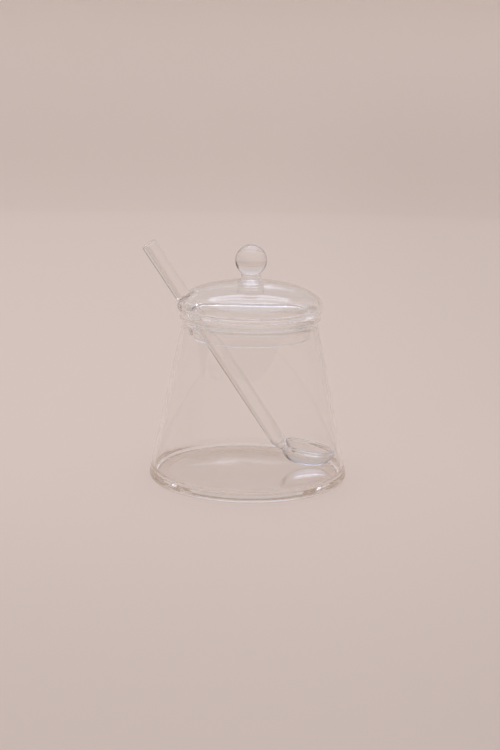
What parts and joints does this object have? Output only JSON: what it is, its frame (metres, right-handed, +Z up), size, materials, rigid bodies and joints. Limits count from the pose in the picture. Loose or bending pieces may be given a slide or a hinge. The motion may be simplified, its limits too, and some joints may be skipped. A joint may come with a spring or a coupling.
{
  "type": "jam pot",
  "caption": "Clear glass jam pot: tapered jar, lift-off domed lid with ball knob and spoon slot, and a glass spoon leaning in it.",
  "frame": {"origin": "centre of the jar's flat underside", "axes": "+Z up along the jar's axis, -Y towards the side that the picture shows, +X to its right"},
  "size_m": [0.1043, 0.1012, 0.1234],
  "materials": {
    "jar_glass": "clear, smooth, blown",
    "lid_glass": "clear, smooth, fire-polished",
    "spoon_glass": "clear, smooth, drawn tube"
  },
  "bodies": {
    "jar": {"jar": "jar_glass"},
    "lid": {"lid_dome": "lid_glass", "lid_collar": "lid_glass", "lid_knob": "lid_glass"},
    "spoon": {"spoon_handle": "spoon_glass", "spoon_bowl": "spoon_glass"}
  },
  "joints": [
    {"name": "lid_lift", "type": "slide", "parent": "jar", "child": "lid", "axis": [0, 0, 1], "range_m": [0, 0.06]},
    {"name": "spoon_slide", "type": "slide", "parent": "jar", "child": "spoon", "axis": [-0.5348, -0.1333, 0.8344], "range_m": [0, 0.06]}
  ]
}
